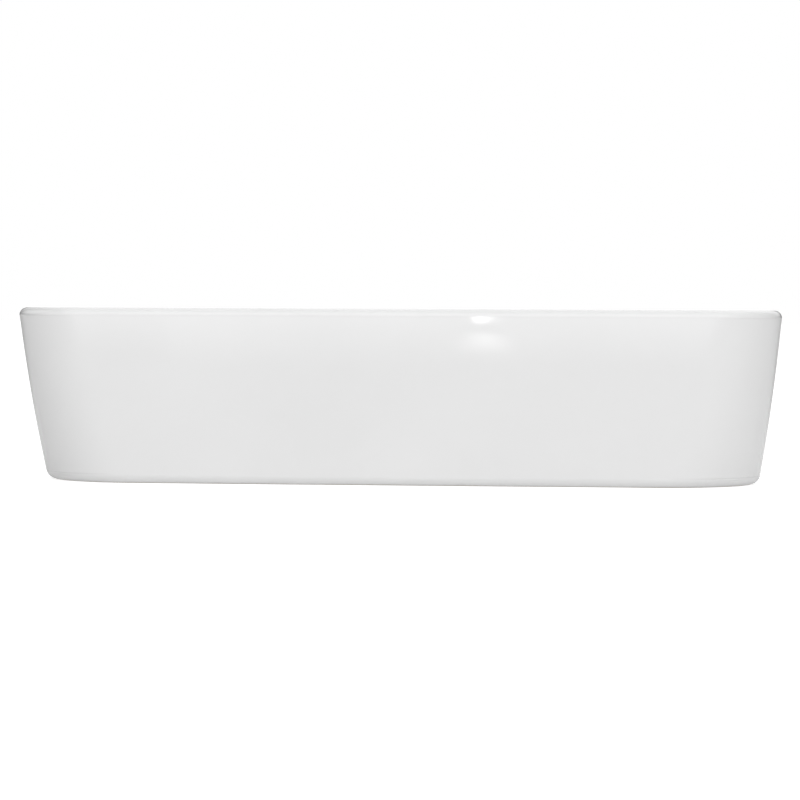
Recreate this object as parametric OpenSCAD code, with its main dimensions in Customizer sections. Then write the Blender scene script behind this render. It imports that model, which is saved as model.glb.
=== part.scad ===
// Countertop basin in glazed ceramic, with its push-button waste.
// The origin is the centre of the foot, Z points up, the front is -Y, and lengths are in millimetres.
// The plug is drawn raised, which leaves the waste open.

/* [Basin outside] */
// Width of the basin over its bowed ends
basin_w = 600; // [500:1:700]
// Depth of the basin, front to back, over its bowed sides
basin_d = 400; // [350:1:480]
// Height of the rim above the counter
basin_h = 136; // [125:1:160]
// How far the ends swell beyond their corners
end_bow = 3.9; // [0:0.1:8]
// How far the front and back swell beyond their corners
side_bow = 3; // [0:0.1:8]
// Corner radius seen from above, at the rim
rim_corner = 50; // [40:1:80]
// Corner radius seen from above, at the foot
foot_corner = 68; // [50:1:90]
// Lean of the outer wall just under the rim, in degrees
lean_rim = 5.3; // [3:0.1:8]
// Lean of the outer wall at the foot, in degrees
lean_foot = 9.6; // [6:0.1:12]
// Thickness of the wall at the rim
rim_wall = 12; // [11:0.1:16]
// Rounding of the rim's outer edge
rim_round = 5.7; // [4:0.1:5.9]
// Rounding of the rim's inner edge
rim_inner_round = 5; // [3:0.1:5]
// Rounding of the foot's outer edge
foot_round = 8.4; // [4:0.1:10]
// Thickness of the skirt at its foot, which thins to the floor's thickness at the ceiling of the hollow
skirt_wall = 16; // [14:0.5:20]

/* [Bowl] */
// Lean of the bowl's wall, in degrees
bowl_lean = 8; // [6:0.1:12]
// Radius of the cove between the bowl's wall and its floor
bowl_cove = 34; // [25:1:45]
// Corner radius seen from above, where the bowl's wall meets the cove
cove_corner = 64; // [50:1:80]
// Corner radius seen from above, where the cove meets the floor
floor_corner = 44; // [35:1:60]
// Fall of the floor from the cove to the drain
floor_fall = 6; // [3:0.5:9]
// Thickness of the ceramic at the drain
floor_wall = 12; // [10:0.5:15]
// Height of the hollow under the floor, at the drain
hollow_h = 34; // [32:0.5:38]
// Radius of the cove round the hollow's ceiling
hollow_cove = 14; // [8:1:18]

/* [Drain hole] */
// Diameter of the hole through the ceramic
drain_hole_d = 46; // [45:0.5:48]
// Depth of the recess that takes the flange
recess_depth = 2; // [1:0.1:3]
// Gap round the flange in its recess
recess_gap = 2; // [1:0.1:3]

/* [Waste body] */
// Diameter of the flange
flange_d = 64; // [62:0.5:68]
// Thickness of the flange
flange_t = 3; // [2.6:0.1:4]
// Diameter of the dished seat in the flange, for the plug's seal
dish_d = 50; // [48:0.5:54]
// Depth of the dished seat
dish_depth = 1.2; // [0.8:0.1:1.4]
// Diameter of the thread that joins flange and tail
joint_thread_d = 39; // [38:0.1:40]
// Diameter of the waterway
waterway_d = 35; // [33:0.1:35.4]
// Outside diameter of the tail's pipe thread, size 1 1/4
tail_thread_d = 41.91; // [41.91:0.01:41.91]
// Length of the tail's free thread
tail_thread_l = 11; // [10:0.5:12]
// Height of the tail's end above the counter
tail_clear = 4; // [3:0.1:5]
// Diameter of the tail's clamping collar
collar_d = 60; // [58:0.5:64]
// Thickness of the collar's edge
collar_t = 3; // [2:0.1:4]
// Thickness of the rubber ring under the flange
flange_seal_t = 2; // [1.5:0.1:3]
// Thickness of the rubber ring under the ceramic
under_seal_t = 5; // [4:0.1:5.5]
// Thickness of the slip washer
slip_washer_t = 1.5; // [1:0.1:2]
// Number of arms that carry the cartridge
spider_arms = 3; // [3:1:5]
// Width of each arm
arm_w = 3; // [2:0.1:4]
// Height of the arms and their hub
hub_h = 6; // [5:0.5:7]
// Wall of the hub
hub_wall = 3.2; // [2.5:0.1:3.6]

/* [Cartridge] */
// Outside diameter of the sleeve
sleeve_d = 17; // [16.8:0.1:18]
// Wall of the sleeve round the latch ring
sleeve_wall = 1.4; // [1.2:0.1:1.6]
// How far the sleeve reaches below its hub
sleeve_drop = 1.5; // [1:0.1:2]
// Width of the sleeve's hexagon across its flats
sleeve_hex = 21; // [20:0.5:22]
// Height of the sleeve's hexagon
sleeve_hex_h = 3; // [2:0.1:3.5]
// Height of the guide bush's head
bush_head_h = 3; // [2:0.1:3.5]
// Length of the guide bush inside the sleeve
bush_l = 11.4; // [9:0.1:13]
// Diameter of the stem
stem_d = 9.5; // [9.2:0.1:9.8]
// Travel of the plug from open to latched shut
plug_travel = 9; // [8:0.1:9.5]
// Extra travel that frees the latch
overtravel = 0.8; // [0.6:0.1:1]
// Height of the latch ring
ring_h = 5; // [4:0.1:6]
// Diameter of the latch ring's pegs
peg_d = 1.8; // [1.6:0.1:2]
// Depth of the track that the pegs follow
track_depth = 0.9; // [0.7:0.05:1]
// Number of pegs, which is also the number of times that the track repeats
peg_count = 3; // [3:1:3]
// Wire of the spring
spring_wire = 0.7; // [0.6:0.05:0.8]
// Number of turns of the spring
spring_turns = 8; // [6:1:9]
// Diameter of the spring's bore in the stem
spring_bore_d = 6; // [5.6:0.1:6]

/* [Plug] */
// Diameter of the plug
plug_d = 62; // [58:0.5:62]
// Height of the plug's dome over its edge
dome_h = 4.5; // [3:0.1:6]
// Thickness of the plug's edge
plug_edge = 2.6; // [2:0.1:3.5]
// Thickness of the plug's skin
plug_skin = 2; // [1.6:0.1:2.4]
// Diameter of the plug's hub
plug_hub_d = 28; // [26:0.5:30]
// Depth of the groove that holds the plug's seal
seal_groove = 1.5; // [1:0.1:2]
// Thickness of the plug's seal
plug_seal_t = 2.2; // [1.8:0.1:2.4]
// Diameter of the plug's seal
plug_seal_d = 44; // [40:0.5:46]
// Diameter of the thread between stem and plug
plug_thread_d = 8; // [6:0.5:8]
// Width of the lock nut across its flats
nut_flats = 13; // [12:0.5:15]
// Height of the lock nut
nut_h = 4; // [3:0.5:5]

/* [Hidden] */
$fn = 96;

// Clearances: thread to thread, sliding fit, seal round a shank, ring in its chamber
thread_gap = 0.05;
slide_gap = 0.1;
seal_gap = 0.4;
ring_gap = 0.1;
// Length by which a cut runs past the face that it opens
past = 1;

// Steps round each corner, along a long side and along a short side
corner_steps = 12;
long_steps = 8;
short_steps = 6;
ring_points = 4 * corner_steps + 2 * (long_steps + short_steps);

// Drain: width of the flat land outside the recess, easing of the hole's edge, and the radii
land_w = 3;
drain_ease = 0.8;
recess_r = flange_d / 2 + recess_gap;
land_r = recess_r + land_w;
hole_r = drain_hole_d / 2;

// Heights in the drain, from the hollow's ceiling up
seat_z = hollow_h + floor_wall;
land_z = seat_z + recess_depth;
flange_z = seat_z + flange_seal_t;
flange_top = flange_z + flange_t;

// Heights under the ceramic, from the hollow's ceiling down
slip_z = hollow_h - under_seal_t - slip_washer_t;
shank_r = joint_thread_d / 2;
water_r = waterway_d / 2;
tail_r = tail_thread_d / 2;
// Chamfer of a thread's end, step from the free thread to the socket, and wall of the socket
thread_ease = 1;
socket_step = 1;
socket_wall = 3.2;
tail_top = slip_z;
tail_step = tail_clear + thread_ease + tail_thread_l;
socket_z = tail_step + socket_step;

// Heights of the cartridge, from the tail's end up
hub_rise = 4;
sleeve_end = 1.5;
stem_room = 0.7;
ledge_rise = 1.4;
hub_z = tail_clear + hub_rise;
sleeve_r = sleeve_d / 2;
sleeve_z = hub_z - sleeve_drop;
sleeve_floor = sleeve_z + sleeve_end;
stem_r = stem_d / 2;
chamber_r = sleeve_r - sleeve_wall;
press = plug_travel + overtravel;
stem_low = sleeve_floor + press + stem_room;
ledge_z = stem_low + ledge_rise;
ring_z = ledge_z + ring_gap;
peg_z = ring_z + ring_h / 2;
bush_z = ring_z + ring_h + ring_gap;
sleeve_top = bush_z + bush_l;
bush_top = sleeve_top + bush_head_h;
track_r = stem_r - track_depth;
track_w = peg_d + 0.3;
// Room for the spring over the pegs' highest place, and beside it in its bore
spring_head = 2.2;
spring_side = 0.35;
spring_bore_top = peg_z + press + spring_head;
spring_r = spring_bore_d / 2 - spring_side - spring_wire / 2;

// Heights of the plug at rest, from the flange up
plug_gap = 0.3;
hub_reach = 1.2;
dish_z = flange_top - dish_depth;
plug_z = flange_top + press + plug_gap;
seal_z = plug_z - dish_depth;
hub_low = seal_z - hub_reach;
groove_r = plug_hub_d / 2 - seal_groove;
plug_r = plug_d / 2;

function mix(a, b, t) = a + (b - a) * t;

// Inset of the outer wall at height z, measured from the widest line of the rim
wall_top = basin_h - rim_round * (1 + sin(lean_rim));
rim_inset = rim_round * (1 - cos(lean_rim));
function wall_inset(z) =
    let (s = wall_top - z)
    rim_inset + s * tan(lean_rim) + (tan(lean_foot) - tan(lean_rim)) * s * s / (2 * wall_top);
function wall_corner(z) = mix(foot_corner, rim_corner, z / basin_h);

// Points of a rounded rectangle with inset e, corner radius r and bowed sides, anticlockwise from +X
function corner_sign(k) = [[1, 1], [-1, 1], [-1, -1], [1, -1]][k % 4];
function corner_point(a, b, r, k, turn) =
    let (s = corner_sign(k))
    [s.x * (a - r) + r * cos(turn), s.y * (b - r) + r * sin(turn)];
function straight_outline(a, b, r) = [
    for (k = [0:3])
        let (
            steps = k % 2 == 0 ? long_steps : short_steps,
            from = corner_point(a, b, r, k, 90 * (k + 1)),
            to = corner_point(a, b, r, k + 1, 90 * (k + 1))
        )
        each concat(
            [for (i = [0:corner_steps]) corner_point(a, b, r, k, 90 * (k + i / corner_steps))],
            [for (i = [1:steps - 1]) mix(from, to, i / steps)]
        )
];
function outline(e, r) =
    let (a = basin_w / 2 - end_bow - e, b = basin_d / 2 - side_bow - e)
    [
        for (p = straight_outline(a, b, r))
            [
                p.x + end_bow * (p.x / a) * (1 - pow(p.y / b, 2)),
                p.y + side_bow * (p.y / b) * (1 - pow(p.x / a, 2))
            ]
    ];

// One ring of the casting. A station is [inset, height, corner radius, share of the outline],
// where a share of 0 is the circle of the land round the drain.
function ring(station) =
    [
        for (p = outline(station[0], station[2]))
            let (c = land_r * p / norm(p), q = mix(c, p, station[3]))
            [q.x, q.y, station[1]]
    ];

// Stations of the casting, from the drain's underside round the foot and the rim back to the drain
ceiling_z = hollow_h + floor_fall;
function skirt_inset(z) = wall_inset(z) + mix(skirt_wall, floor_wall, z / ceiling_z);
ceiling_inset = skirt_inset(ceiling_z) + hollow_cove;
foot_z = foot_round * (1 - sin(lean_foot));
foot_inset = wall_inset(foot_z) + foot_round * cos(lean_foot);
foot_lip = 2.5;
under_stations = concat(
    [
        for (s = [0:0.25:1])
            [ceiling_inset, mix(hollow_h, ceiling_z, s), foot_corner - skirt_wall - hollow_cove, s]
    ],
    [
        for (t = [22.5:22.5:90])
            let (z = ceiling_z - hollow_cove * (1 - cos(t)))
            [
                skirt_inset(z) + hollow_cove * (1 - sin(t)),
                z,
                foot_corner - skirt_wall - hollow_cove * (1 - sin(t)),
                1
            ]
    ],
    [
        for (t = [0:30:90])
            [
                skirt_inset(0) - foot_lip * (1 - cos(t)),
                foot_lip * (1 - sin(t)),
                foot_corner - skirt_wall + foot_lip * (1 - cos(t)),
                1
            ]
    ]
);
foot_stations = [
    for (i = [0:5])
        let (t = mix(90, lean_foot, i / 5))
        [foot_inset - foot_round * cos(t), foot_round * (1 - sin(t)), foot_corner, 1]
];
wall_stations = [
    for (i = [1:6])
        let (z = mix(foot_z, wall_top, i / 6))
        [wall_inset(z), z, wall_corner(z), 1]
];
rim_stations = concat(
    [
        for (t = [0:15:90])
            [
                rim_round * (1 - cos(t)),
                basin_h - rim_round * (1 - sin(t)),
                rim_corner - rim_round * (1 - cos(t)),
                1
            ]
    ],
    [
        for (i = [0:6])
            let (t = mix(90, -bowl_lean, i / 6), e = rim_wall - rim_inner_round * (1 - cos(t)))
            [e, basin_h - rim_inner_round * (1 - sin(t)), rim_corner - e, 1]
    ]
);
bowl_top = basin_h - rim_inner_round * (1 + sin(bowl_lean));
bowl_edge = rim_wall - rim_inner_round * (1 - cos(bowl_lean));
function bowl_inset(z) = bowl_edge + (bowl_top - z) * tan(bowl_lean);
floor_edge_z = land_z + floor_fall;
floor_slope = 2;
cove_z = floor_edge_z + bowl_cove * cos(floor_slope);
cove_low = cove_z - bowl_cove * sin(bowl_lean);
cove_inset = bowl_inset(cove_low) + bowl_cove * cos(bowl_lean);
bowl_stations = concat(
    [
        for (i = [1:4])
            let (z = mix(bowl_top, cove_low, i / 4))
            [bowl_inset(z), z, mix(rim_corner - bowl_edge, cove_corner, i / 4), 1]
    ],
    [
        for (i = [1:8])
            let (t = mix(bowl_lean, 90 - floor_slope, i / 8))
            [
                cove_inset - bowl_cove * cos(t),
                cove_z - bowl_cove * sin(t),
                mix(cove_corner, floor_corner, i / 8),
                1
            ]
    ],
    [
        for (s = [0.75:-0.25:0])
            [cove_inset - bowl_cove * sin(floor_slope), mix(land_z, floor_edge_z, s), floor_corner, s]
    ]
);
stations = concat(under_stations, foot_stations, wall_stations, rim_stations, bowl_stations);

// The casting as one closed skin of rings, with a fan at each end
module casting() {
    n = ring_points;
    last = len(stations) - 1;
    low_pole = n * (last + 1);
    high_pole = low_pole + 1;
    polyhedron(
        points = concat(
            [for (s = stations) each ring(s)],
            [[0, 0, hollow_h], [0, 0, land_z]]
        ),
        faces = concat(
            [for (i = [0:n - 1]) [low_pole, (i + 1) % n, i]],
            [
                for (j = [0:last - 1], i = [0:n - 1])
                    let (k = (i + 1) % n, low = n * j, high = n * (j + 1))
                    each [[low + i, low + k, high + k], [low + i, high + k, high + i]]
            ],
            [for (i = [0:n - 1]) [high_pole, n * last + i, n * last + (i + 1) % n]]
        ),
        convexity = 6
    );
}

// Everything that is taken out for the drain: hole, eased edge and flange recess
module drain_cut() {
    rotate_extrude()
        polygon([
            [0, hollow_h - past],
            [hole_r, hollow_h - past],
            [hole_r, seat_z - drain_ease],
            [hole_r + drain_ease, seat_z],
            [recess_r, seat_z],
            [recess_r + recess_depth, land_z],
            [recess_r + recess_depth, land_z + past],
            [0, land_z + past]
        ]);
}

module basin() {
    color("white")
        difference() {
            casting();
            drain_cut();
        }
}

// Ring with a rectangular section and softened outer edges
module soft_ring(inner_r, outer_r, low_z, thick, ease) {
    rotate_extrude()
        polygon([
            [inner_r, low_z],
            [outer_r - ease, low_z],
            [outer_r, low_z + ease],
            [outer_r, low_z + thick - ease],
            [outer_r - ease, low_z + thick],
            [inner_r, low_z + thick]
        ]);
}

module flange_seal() {
    color("dimgray")
        soft_ring(shank_r + seal_gap, flange_d / 2 - 1, seat_z, flange_seal_t, 0.4);
}

// Upper half of the waste: flange with its dished seat, waterway and threaded shank
module waste_flange() {
    edge_r = flange_d / 2;
    lip = 0.9;
    under_ease = 0.6;
    shank_ease = 0.8;
    mouth = 1.2;
    dish_r = dish_d / 2;
    shank_end = socket_z + 1;
    color("silver")
        rotate_extrude()
            polygon(concat(
                [
                    [water_r, shank_end],
                    [shank_r - shank_ease, shank_end],
                    [shank_r, shank_end + shank_ease],
                    [shank_r, flange_z],
                    [edge_r - under_ease, flange_z]
                ],
                [for (t = [-30:15:90]) [edge_r - lip * (1 - cos(t)), flange_top - 0.4 - lip * (1 - sin(t))]],
                [
                    [dish_r + 3, flange_top],
                    [dish_r + 1.5, flange_top - 0.2],
                    [dish_r, dish_z],
                ],
                [for (t = [90:-22.5:0]) [water_r + mouth * (1 - cos(t)), dish_z - mouth * (1 - sin(t))]]
            ));
}

// Rubber ring under the ceramic, with a nose that centres it in the drain hole
module underside_seal() {
    inner = shank_r + seal_gap;
    outer = collar_d / 2;
    low = hollow_h - under_seal_t;
    ease = 1;
    nose = 2;
    nose_gap = 0.3;
    color("dimgray")
        rotate_extrude()
            polygon([
                [inner, low],
                [outer - ease, low],
                [outer, low + ease],
                [outer, hollow_h - ease],
                [outer - ease, hollow_h],
                [hole_r - nose_gap, hollow_h],
                [hole_r - ease, hollow_h + nose],
                [inner, hollow_h + nose]
            ]);
}

module slip_washer() {
    color("whitesmoke")
        soft_ring(shank_r + seal_gap, collar_d / 2 - 0.5, slip_z, slip_washer_t, 0.3);
}

// Lower half of the waste: clamping collar, socket for the shank, spider and pipe thread
module waste_tail() {
    socket_r = shank_r + thread_gap;
    socket_wall_r = socket_r + socket_wall;
    hub_bore = sleeve_r + thread_gap;
    arm_in = hub_bore + hub_wall / 2;
    collar_r = collar_d / 2;
    collar_low = tail_top - collar_t;
    cone = 3;
    ease = 0.5;
    color("silver") {
        rotate_extrude()
            polygon([
                [water_r, tail_clear],
                [tail_r - thread_ease, tail_clear],
                [tail_r, tail_clear + thread_ease],
                [tail_r, tail_step],
                [socket_wall_r - ease, tail_step],
                [socket_wall_r, tail_step + ease],
                [socket_wall_r, collar_low - cone],
                [collar_r - ease, collar_low],
                [collar_r, collar_low + ease],
                [collar_r, tail_top - ease],
                [collar_r - ease, tail_top],
                [socket_r, tail_top],
                [socket_r, socket_z],
                [water_r, socket_z]
            ]);
        difference() {
            union() {
                translate([0, 0, hub_z])
                    cylinder(r = hub_bore + hub_wall, h = hub_h);
                for (k = [0:spider_arms - 1])
                    rotate(90 + k * 360 / spider_arms)
                        translate([arm_in, -arm_w / 2, hub_z])
                            cube([water_r + past - arm_in, arm_w, hub_h]);
            }
            translate([0, 0, hub_z - past])
                cylinder(r = hub_bore, h = hub_h + 2 * past);
        }
    }
}

// Tube of the push-push cartridge, screwed down through the spider's hub
module cartridge_sleeve() {
    guide_r = stem_r + slide_gap;
    hex_z = hub_z + hub_h;
    color("gainsboro")
        difference() {
            union() {
                translate([0, 0, sleeve_z])
                    cylinder(r = sleeve_r, h = sleeve_top - sleeve_z);
                translate([0, 0, hex_z])
                    cylinder(d = sleeve_hex / cos(30), h = sleeve_hex_h, $fn = 6);
            }
            translate([0, 0, sleeve_floor])
                cylinder(r = guide_r, h = sleeve_top);
            translate([0, 0, ledge_z])
                cylinder(r = chamber_r, h = sleeve_top);
        }
}

// Bush that closes the cartridge, keeps the latch ring down and guides the stem
module guide_bush() {
    head_ease = 0.8;
    color("gainsboro")
        rotate_extrude()
            polygon([
                [stem_r + slide_gap, bush_z],
                [chamber_r - thread_gap, bush_z],
                [chamber_r - thread_gap, sleeve_top],
                [sleeve_r, sleeve_top],
                [sleeve_r, bush_top - head_ease],
                [sleeve_r - head_ease, bush_top],
                [stem_r + slide_gap, bush_top]
            ]);
}

// Ring that turns as its pegs follow the stem's track
module latch_ring() {
    peg_gap = 0.15;
    peg_in = track_r + peg_gap;
    bore_gap = 0.15;
    seat_r = mix(stem_r, chamber_r, 0.5);
    color("ivory") {
        difference() {
            translate([0, 0, ring_z])
                cylinder(r = chamber_r - ring_gap, h = ring_h);
            translate([0, 0, ring_z - past])
                cylinder(r = stem_r + bore_gap, h = ring_h + 2 * past);
        }
        for (k = [0:peg_count - 1])
            rotate(k * 360 / peg_count)
                translate([peg_in, 0, peg_z])
                    rotate([0, 90, 0])
                        cylinder(d = peg_d, h = seat_r - peg_in, $fn = 32);
    }
}

// A tube of three or more sides along a list of points, with one frame per point
function tube_faces(rings, sides) = concat(
    [[for (i = [0:sides - 1]) i]],
    [
        for (j = [0:rings - 2], i = [0:sides - 1])
            let (k = (i + 1) % sides, low = sides * j, high = sides * (j + 1))
            each [[low + i, high + k, low + k], [low + i, high + i, high + k]]
    ],
    [[for (i = [sides - 1:-1:0]) sides * (rings - 1) + i]]
);

// Compression spring: a round wire on a helix whose end turns lie close
module click_spring() {
    sides = 6;
    turn_steps = 12;
    steps = spring_turns * turn_steps;
    seat_gap = 0.05;
    end_pitch = spring_wire * 1.15;
    low = sleeve_floor + spring_wire / 2 + seat_gap;
    high = spring_bore_top - spring_wire / 2 - seat_gap;
    function rise(u) =
        let (dead = 1 / spring_turns, w = end_pitch)
        u < dead ? low + w * u / dead :
        u > 1 - dead ? high - w * (1 - u) / dead :
        mix(low + w, high - w, (u - dead) / (1 - 2 * dead));
    points = [
        for (i = [0:steps])
            let (u = i / steps, turn = 360 * spring_turns * u)
            for (j = [0:sides - 1])
                let (s = 360 * j / sides, r = spring_r + spring_wire / 2 * cos(s))
                [r * cos(turn), r * sin(turn), rise(u) + spring_wire / 2 * sin(s)]
    ];
    color("lightgray")
        polyhedron(points = points, faces = tube_faces(steps + 1, sides), convexity = 12);
}

// Track on the stem, as [turn in degrees, height over the peg's place at rest]:
// up to the full press, back to the latch, up to the full press again, and down to rest
repeat = 360 / peg_count;
latch_turn = repeat * 0.63;
release_turn = repeat * 0.74;
track = [
    [0, 0],
    [repeat / 2, press],
    [latch_turn, plug_travel],
    [release_turn, press],
    [repeat, 0]
];

// One straight run of the track: a slot of constant width that winds round the stem
module track_run(from, to) {
    steps = 4;
    outer = stem_r + past;
    along = [(to[0] - from[0]) * PI / 180 * stem_r, to[1] - from[1]];
    side = [-along[1], along[0]] / norm(along) * track_w / 2;
    function corner(u, out, hand) =
        let (
            p = mix(from, to, u),
            turn = p[0] + hand * side[0] / stem_r * 180 / PI,
            r = out ? outer : track_r
        )
        [r * cos(turn), r * sin(turn), peg_z + p[1] + hand * side[1]];
    points = [
        for (i = [0:steps])
            let (u = i / steps)
            each [corner(u, false, -1), corner(u, true, -1), corner(u, true, 1), corner(u, false, 1)]
    ];
    end = 4 * steps;
    ends = [[2, 1, 0], [3, 2, 0], [end, end + 1, end + 2], [end, end + 2, end + 3]];
    sides = [
        for (j = [0:steps - 1], i = [0:3])
            let (k = (i + 1) % 4, low = 4 * j, high = 4 * (j + 1))
            each [[low + i, low + k, high + k], [low + i, high + k, high + i]]
    ];
    polyhedron(points = points, faces = concat(ends, sides), convexity = 4);
}

module stem_track() {
    for (k = [0:peg_count - 1])
        rotate(k * repeat) {
            for (i = [0:len(track) - 2])
                track_run(track[i], track[i + 1]);
            for (i = [0:len(track) - 2])
                rotate(track[i][0])
                    translate([track_r, 0, peg_z + track[i][1]])
                        rotate([0, 90, 0])
                            cylinder(d = track_w, h = stem_r, $fn = 32);
        }
}

// Plunger: track at its foot, bore for the spring, thread for the plug at its head
module plug_stem() {
    neck = 1;
    grip = 1;
    shoulder = hub_low - nut_h - neck;
    thread_top = plug_z + plug_edge - plug_skin + grip;
    color("silver")
        difference() {
            union() {
                translate([0, 0, stem_low])
                    cylinder(r = stem_r, h = shoulder - stem_low);
                translate([0, 0, shoulder])
                    cylinder(d = plug_thread_d, h = thread_top - shoulder);
            }
            translate([0, 0, stem_low - past])
                cylinder(d = spring_bore_d, h = spring_bore_top - stem_low + past);
            stem_track();
        }
}

module stem_nut() {
    color("goldenrod")
        difference() {
            translate([0, 0, hub_low - nut_h])
                cylinder(d = nut_flats / cos(30), h = nut_h, $fn = 6);
            translate([0, 0, hub_low - nut_h - past])
                cylinder(d = plug_thread_d + 2 * thread_gap, h = nut_h + 2 * past);
        }
}

// Plug: a domed disc over a grooved hub that is drilled for the stem
module plug_cap() {
    dome_r = (plug_r * plug_r + dome_h * dome_h) / (2 * dome_h);
    top_z = plug_z + plug_edge + dome_h;
    inner_r = plug_r - plug_skin;
    hub_r = plug_hub_d / 2;
    thread_r = plug_thread_d / 2 + thread_gap;
    hub_ease = 0.4;
    edge_ease = 0.6;
    shoulder = 1;
    hole_end = 1.3;
    span = asin((plug_r - shoulder) / dome_r);
    hole_top = plug_z + plug_edge - plug_skin + hole_end;
    function dome(r) = top_z - dome_r + sqrt(dome_r * dome_r - r * r);
    color("silver")
        rotate_extrude()
            polygon(concat(
                [[0, hole_top], [thread_r, hole_top]],
                [
                    [thread_r, hub_low],
                    [hub_r - hub_ease, hub_low],
                    [hub_r, hub_low + hub_ease],
                    [hub_r, seal_z],
                    [groove_r, seal_z],
                    [groove_r, seal_z + plug_seal_t],
                    [hub_r, seal_z + plug_seal_t],
                    [hub_r, dome(hub_r) - plug_skin]
                ],
                [
                    for (i = [1:4])
                        let (r = mix(hub_r, inner_r - shoulder, i / 4))
                        [r, dome(r) - plug_skin]
                ],
                [
                    [inner_r, plug_z],
                    [plug_r - edge_ease, plug_z],
                    [plug_r, plug_z + edge_ease],
                    [plug_r, plug_z + plug_edge - edge_ease]
                ],
                [
                    for (i = [10:-1:0])
                        let (t = span * i / 10)
                        [dome_r * sin(t), top_z - dome_r * (1 - cos(t))]
                ]
            ));
}

module plug_seal() {
    inner = groove_r + thread_gap;
    outer = plug_seal_d / 2;
    lip = 0.8;
    ease = 0.4;
    top = seal_z + plug_seal_t;
    color("dimgray")
        rotate_extrude()
            polygon([
                [inner, seal_z],
                [outer - lip, seal_z],
                [outer, seal_z + lip],
                [outer, top - ease],
                [outer - ease, top],
                [inner, top]
            ]);
}

basin();
flange_seal();
waste_flange();
underside_seal();
slip_washer();
waste_tail();
cartridge_sleeve();
guide_bush();
latch_ring();
click_spring();
plug_stem();
stem_nut();
plug_cap();
plug_seal();
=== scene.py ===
"""Glazed countertop basin with its push-button waste: smooth shells, threads, finishes and a pale studio."""

import math
from functools import partial

import bpy
import numpy as np
from bpy.props import FloatProperty, FloatVectorProperty, IntProperty, PointerProperty
from bpy.types import Operator, Panel, PropertyGroup
from mathutils import Matrix, Vector


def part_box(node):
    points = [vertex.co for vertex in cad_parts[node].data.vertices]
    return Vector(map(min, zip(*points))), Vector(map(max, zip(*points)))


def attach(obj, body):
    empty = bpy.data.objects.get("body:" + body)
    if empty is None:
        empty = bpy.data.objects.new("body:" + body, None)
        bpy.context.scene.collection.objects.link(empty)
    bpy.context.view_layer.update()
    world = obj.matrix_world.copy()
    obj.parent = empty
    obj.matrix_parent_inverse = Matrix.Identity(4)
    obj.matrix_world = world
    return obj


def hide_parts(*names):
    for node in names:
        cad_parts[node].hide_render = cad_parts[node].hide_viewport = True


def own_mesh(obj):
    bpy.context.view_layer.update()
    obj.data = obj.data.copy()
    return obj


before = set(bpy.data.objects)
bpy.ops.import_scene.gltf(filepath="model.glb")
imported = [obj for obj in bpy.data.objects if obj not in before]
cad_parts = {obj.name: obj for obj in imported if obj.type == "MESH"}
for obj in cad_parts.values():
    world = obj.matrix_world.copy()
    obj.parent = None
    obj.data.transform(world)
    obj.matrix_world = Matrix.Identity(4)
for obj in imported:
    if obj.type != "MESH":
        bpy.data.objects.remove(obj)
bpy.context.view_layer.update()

bl_info = {
    "name": "Countertop Basin",
    "version": (1, 0, 0),
    "blender": (4, 5, 0),
    "location": "View3D > Sidebar > Basin",
    "description": "Builds a glazed countertop basin, its waste fitting and a studio round it",
    "category": "Add Mesh",
}

MM = 0.001
POLE = 0.2 * MM  # Radius at which a solid's profile stops, where a pole closes it
SHARP = math.radians(38)  # Least angle between faces for a sharp edge


# Sizes and colours that a user would change


def length(name, description, mm):
    return FloatProperty(name=name, description=description, default=mm * MM, unit="LENGTH", subtype="DISTANCE")


def angle(name, description, degrees):
    return FloatProperty(name=name, description=description, default=math.radians(degrees), unit="ROTATION")


def colour(name, description, default):
    return FloatVectorProperty(
        name=name, description=description, default=default, subtype="COLOR", size=3, min=0.0, max=1.0
    )


def number(name, description, default):
    return FloatProperty(name=name, description=description, default=default, min=0.0)


def side(node, axis):
    """Length of a CAD node's box along one axis, in millimetres."""
    low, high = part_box(node)
    return (high[axis] - low[axis]) / MM


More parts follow.
